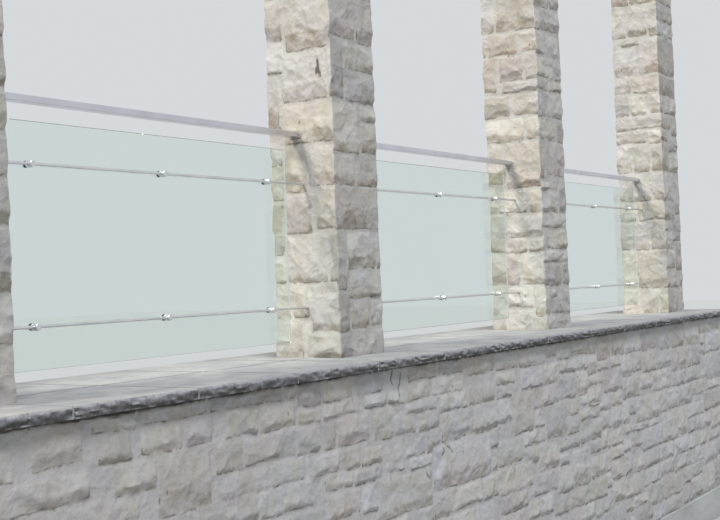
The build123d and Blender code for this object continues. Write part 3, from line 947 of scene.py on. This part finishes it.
def coping_stone():
    """Dark stone on the edges and bleached stone on level parts, told apart by the upward normal. Noise
    scatters pale scuffs on the edges. Painted light makes the edges paler where they round over to the
    top, scattered by the grain, and painted shade makes them darker where they lean over."""
    material, tree, shader = new_material("coping_stone", 0.85)
    patches, grains = noise(tree, 6.0, 6.0, 0.65), noise(tree, 55.0, 6.0, 0.7)
    scuffs = noise(tree, 17.0, 5.0, 0.6)
    edge = blend_colours(tree, ramp(tree, grains, 0.32, 0.68), paint(62, 61, 65), paint(120, 118, 121))
    edge = tinted(tree, edge, (scuffs, 0.56, 0.7, 0.5, (146, 149, 158)))
    # Painted light: the edge goes paler where it rounds over towards the top, scattered by the grain.
    painted_light_on_rounding = times(tree, facing_up(tree, 0.0, 0.5, 0.0, 0.75), ramp(tree, grains, 0.3, 0.55, 0.35, 1.0))
    edge = blend_colours(tree, painted_light_on_rounding, edge, paint(166, 166, 172))
    # Painted shade: the edge goes darker where it leans over.
    edge = blend_colours(tree, facing_up(tree, -0.02, -0.3, 0.0, 0.7), edge, paint(56, 54, 49))
    top = blend_colours(tree, ramp(tree, patches, 0.35, 0.68), paint(167, 166, 166), paint(138, 139, 144))
    top = tinted(tree, top, (grains, 0.55, 0.75, 0.5, (116, 115, 116)))
    tree.links.new(blend_colours(tree, facing_up(tree, 0.55, 0.92), edge, top), shader.inputs["Base Color"])
    broken, rough = ridged(tree, 13.0, 4.0, 0.5), noise(tree, 110.0, 5.0, 0.7)
    add_bump(tree, shader, (broken, 0.35, 0.006), (rough, 0.4, 0.002))
    return material


wear(coping_pieces, coping_stone())

# %% [markdown]
# ## Render and pointing
# The footing is a smooth cement render with faint trowel marks. The pointing between the slabs is the
# same light mortar as in the walls, gone darker where it shows on the edge.

# %% Cement finishes


def cement(name, light, dark, scale, depth, upright=0.0):
    """Two greys mixed by stretched noise, with a shallow bump from the same noise. Upright parts can be
    weathered to a darker grey by a share."""
    material, tree, shader = new_material(name, 0.88)
    sweep = noise(tree, scale, 6.0, 0.6, stretch=(0.35, 0.35, 1.6))
    colour = blend_colours(tree, ramp(tree, sweep, 0.35, 0.68), paint(*light), paint(*dark))
    colour = blend_colours(tree, facing_up(tree, 0.2, 0.8, upright, 0.0), colour, paint(96, 97, 99))
    tree.links.new(colour, shader.inputs["Base Color"])
    add_bump(tree, shader, (sweep, 0.35, depth), (noise(tree, 240.0, 4.0, 0.7), 0.3, 0.0012))
    return material


footing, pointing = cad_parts["footing"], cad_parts["coping_pointing"]
wear([footing], cement("cement_render", (186, 188, 186), (160, 161, 158), 5.0, 0.004))
wear([pointing], cement("pointing_mortar", (182, 182, 180), (158, 158, 157), 30.0, 0.002, 0.3))

# %% [markdown]
# ## Steel
# The top rail is satin tube: fine lines run along it, which stretch its highlights. The rods and their
# holders are brushed and a little brighter. The lines are noise stretched hard along the railing.

# %% Steel finishes


def shade(colour, share):
    """A colour with its three values multiplied by a share."""
    return (*(share * c for c in colour[:3]), 1.0)


def in_bays(*stems):
    """The solids of the same part in every bay."""
    return [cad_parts[stem + "_bay_" + str(n)] for n in (1, 2, 3) for stem in stems]


def steel(name, colour, roughness, line_depth):
    """Metal with long fine lines: noise drawn out along X changes the roughness and the normal."""
    material, tree, shader = new_material(name, roughness, 1.0)
    lines = noise(tree, 900.0, 3.0, 0.6, stretch=(0.012, 1.0, 1.0))
    cloud = noise(tree, 7.0, 4.0, 0.6)
    tone = blend_colours(tree, ramp(tree, cloud, 0.35, 0.7), colour, shade(colour, 0.86))
    gloss = ramp(tree, lines, 0.3, 0.7, roughness - 0.06, roughness + 0.08)
    tree.links.new(tone, shader.inputs["Base Color"])
    tree.links.new(gloss, shader.inputs["Roughness"])
    add_bump(tree, shader, (lines, 0.25, line_depth))
    return material


wear(in_bays("top_rail"), steel("satin_steel", paint(222, 222, 229), 0.32, 0.0003))
brushed = in_bays("upper_rod", "lower_rod", "rod_holders", "back_discs", "set_screws")
wear(brushed, steel("brushed_steel", paint(229, 229, 232), 0.38, 0.0001))

# %% [markdown]
# ## Glass, gaskets and bushes
# The panes are clear float glass with its faint green. Rain leaves a very slight film, so the surface is
# not a perfect mirror everywhere. The gaskets are black rubber, and the bushes white plastic.

# %% Glass, rubber and plastic


def mix_shaders(tree, share, one, two, out):
    """Mixes two shaders by a share and gives the result to an output."""
    mix = node(tree, "ShaderNodeMixShader")
    for socket, value in zip(mix.inputs, (share, one, two)):
        tree.links.new(value, socket)
    tree.links.new(mix.outputs[0], out.inputs["Surface"])


def pane_glass():
    """Clear glass: full transmission, pale green, with light let through for the shadows behind it."""
    material, tree, shader = new_material("clear_glass", 0.0)
    shader.inputs["Base Color"].default_value = paint(240, 249, 245)
    shader.inputs["Transmission Weight"].default_value = 1.0
    shader.inputs["IOR"].default_value = 1.5
    film = noise(tree, 3.0, 4.0, 0.6)
    tree.links.new(ramp(tree, film, 0.45, 0.75, 0.0, 0.03), shader.inputs["Roughness"])
    shadow_ray = node(tree, "ShaderNodeLightPath").outputs["Is Shadow Ray"]
    through = node(tree, "ShaderNodeBsdfTransparent", Color=paint(238, 242, 241)).outputs[0]
    mix_shaders(tree, shadow_ray, shader.outputs[0], through, tree.nodes["Material Output"])
    return material


def soft_finish(name, colour, roughness):
    """A matt finish with a fine grain in its colour and its bump."""
    material, tree, shader = new_material(name, roughness)
    grain = noise(tree, 400.0, 3.0, 0.6)
    tone = blend_colours(tree, ramp(tree, grain, 0.3, 0.7), colour, shade(colour, 0.8))
    tree.links.new(tone, shader.inputs["Base Color"])
    add_bump(tree, shader, (grain, 0.2, 0.0004))
    return material


wear(in_bays("glass_panel"), pane_glass())
wear(in_bays("front_gaskets", "back_gaskets"), soft_finish("black_rubber", paint(34, 34, 35), 0.75))
wear(in_bays("hole_bushes"), soft_finish("white_bush", paint(222, 222, 216), 0.5))

# %% [markdown]
# ## The studio
# A plain pale floor and an even pale sky. The sky is a little brighter overhead than at the sides, as a
# real one is, because that is what draws the dark line under each stone. A warm lamp from the left and
# behind lights the piers' left faces, and a high one rakes down the front.

# %% Floor, sky and lamps
FLOOR_REACH, FLOOR_LEVEL = 60.0, -0.001


def studio_floor():
    """A large level square just under the footing, in metres."""
    mesh = bpy.data.meshes.new("studio_floor")
    turns = ((-1, -1), (1, -1), (1, 1), (-1, 1))
    mesh.from_pydata([(a * FLOOR_REACH, b * FLOOR_REACH, FLOOR_LEVEL) for a, b in turns], [], [(0, 1, 2, 3)])
    floor = bpy.data.objects.new("studio_floor", mesh)
    bpy.context.collection.objects.link(floor)
    material, tree, shader = new_material("studio_floor", 0.9)
    shader.inputs["Base Color"].default_value = paint(168, 171, 174)
    mesh.materials.append(material)


def studio_sky(behind, zenith, horizon):
    """The world: one flat pale colour for what the camera, mirrors and glass see, and for light a
    gradient that rises from the horizon to overhead."""
    world = bpy.data.worlds.new("studio_sky")
    bpy.context.scene.world = world
    world.use_nodes = True
    tree = world.node_tree
    back = tree.nodes["Background"]
    back.inputs["Color"].default_value = behind
    back.inputs["Strength"].default_value = 1.0
    place = node(tree, "ShaderNodeTexCoord").outputs["Generated"]
    height = node(tree, "ShaderNodeSeparateXYZ", Vector=place).outputs["Z"]
    strength = ramp(tree, height, 0.0, 0.9, horizon, zenith)
    light = node(tree, "ShaderNodeBackground", Color=(0.94, 0.97, 1.0, 1.0), Strength=strength)
    rays = node(tree, "ShaderNodeLightPath").outputs
    seen = maths(tree, "MAXIMUM", rays["Is Camera Ray"], rays["Is Glossy Ray"])
    seen = maths(tree, "MAXIMUM", seen, rays["Is Transmission Ray"])
    mix_shaders(tree, seen, light.outputs[0], back.outputs[0], tree.nodes["World Output"])


def lamp(name, towards, strength, spread, colour):
    """A sun lamp that shines along a direction, softened by its angle."""
    light = bpy.data.lights.new(name, "SUN")
    light.energy = strength
    light.angle = math.radians(spread)
    light.color = colour
    made = bpy.data.objects.new(name, light)
    made.rotation_euler = Vector(towards).to_track_quat("-Z", "Y").to_euler()
    bpy.context.collection.objects.link(made)


studio_floor()
studio_sky(paint(214, 217, 220), zenith=0.6, horizon=0.18)
lamp("warm_lamp", (0.78, -0.22, -0.55), 2.55, 12, (1.0, 0.93, 0.78))
lamp("high_lamp", (0.32, 0.42, -0.85), 2.45, 22, (0.98, 0.99, 1.0))

# %% [markdown]
# ## The camera
# The camera stands left of the first pier, a little above the coping, and looks along the railing. Its
# place in metres, its turn in degrees and its focal length in pixels were worked out from the railing's
# vanishing points.

# %% Camera
EYE = Vector((-5.992, -3.3165, 1.9704))
FOCAL, PICTURE_WIDTH, SENSOR = 1212.28, 720.0, 36.0
YAW, PITCH, ROLL = (math.radians(a) for a in (57.13, 0.81, -2.17))
forward = Vector((math.sin(YAW) * math.cos(PITCH), math.cos(YAW) * math.cos(PITCH), math.sin(PITCH)))
level = Vector((math.cos(YAW), -math.sin(YAW), 0.0))
upright = level.cross(forward)
across = math.cos(ROLL) * level + math.sin(ROLL) * upright
up = -math.sin(ROLL) * level + math.cos(ROLL) * upright
lens = bpy.data.cameras.new("camera")
lens.sensor_width = SENSOR
lens.lens = FOCAL * SENSOR / PICTURE_WIDTH
lens.clip_start, lens.clip_end = 0.05, 200.0
camera = bpy.data.objects.new("camera", lens)
bpy.context.collection.objects.link(camera)
turn = Matrix((across, up, -forward)).transposed().to_4x4()
camera.matrix_world = Matrix.Translation(EYE) @ turn
bpy.context.scene.camera = camera
bpy.context.scene.view_settings.view_transform = "Standard"
print("camera at", [round(c, 2) for c in EYE], "lens", round(lens.lens, 1))
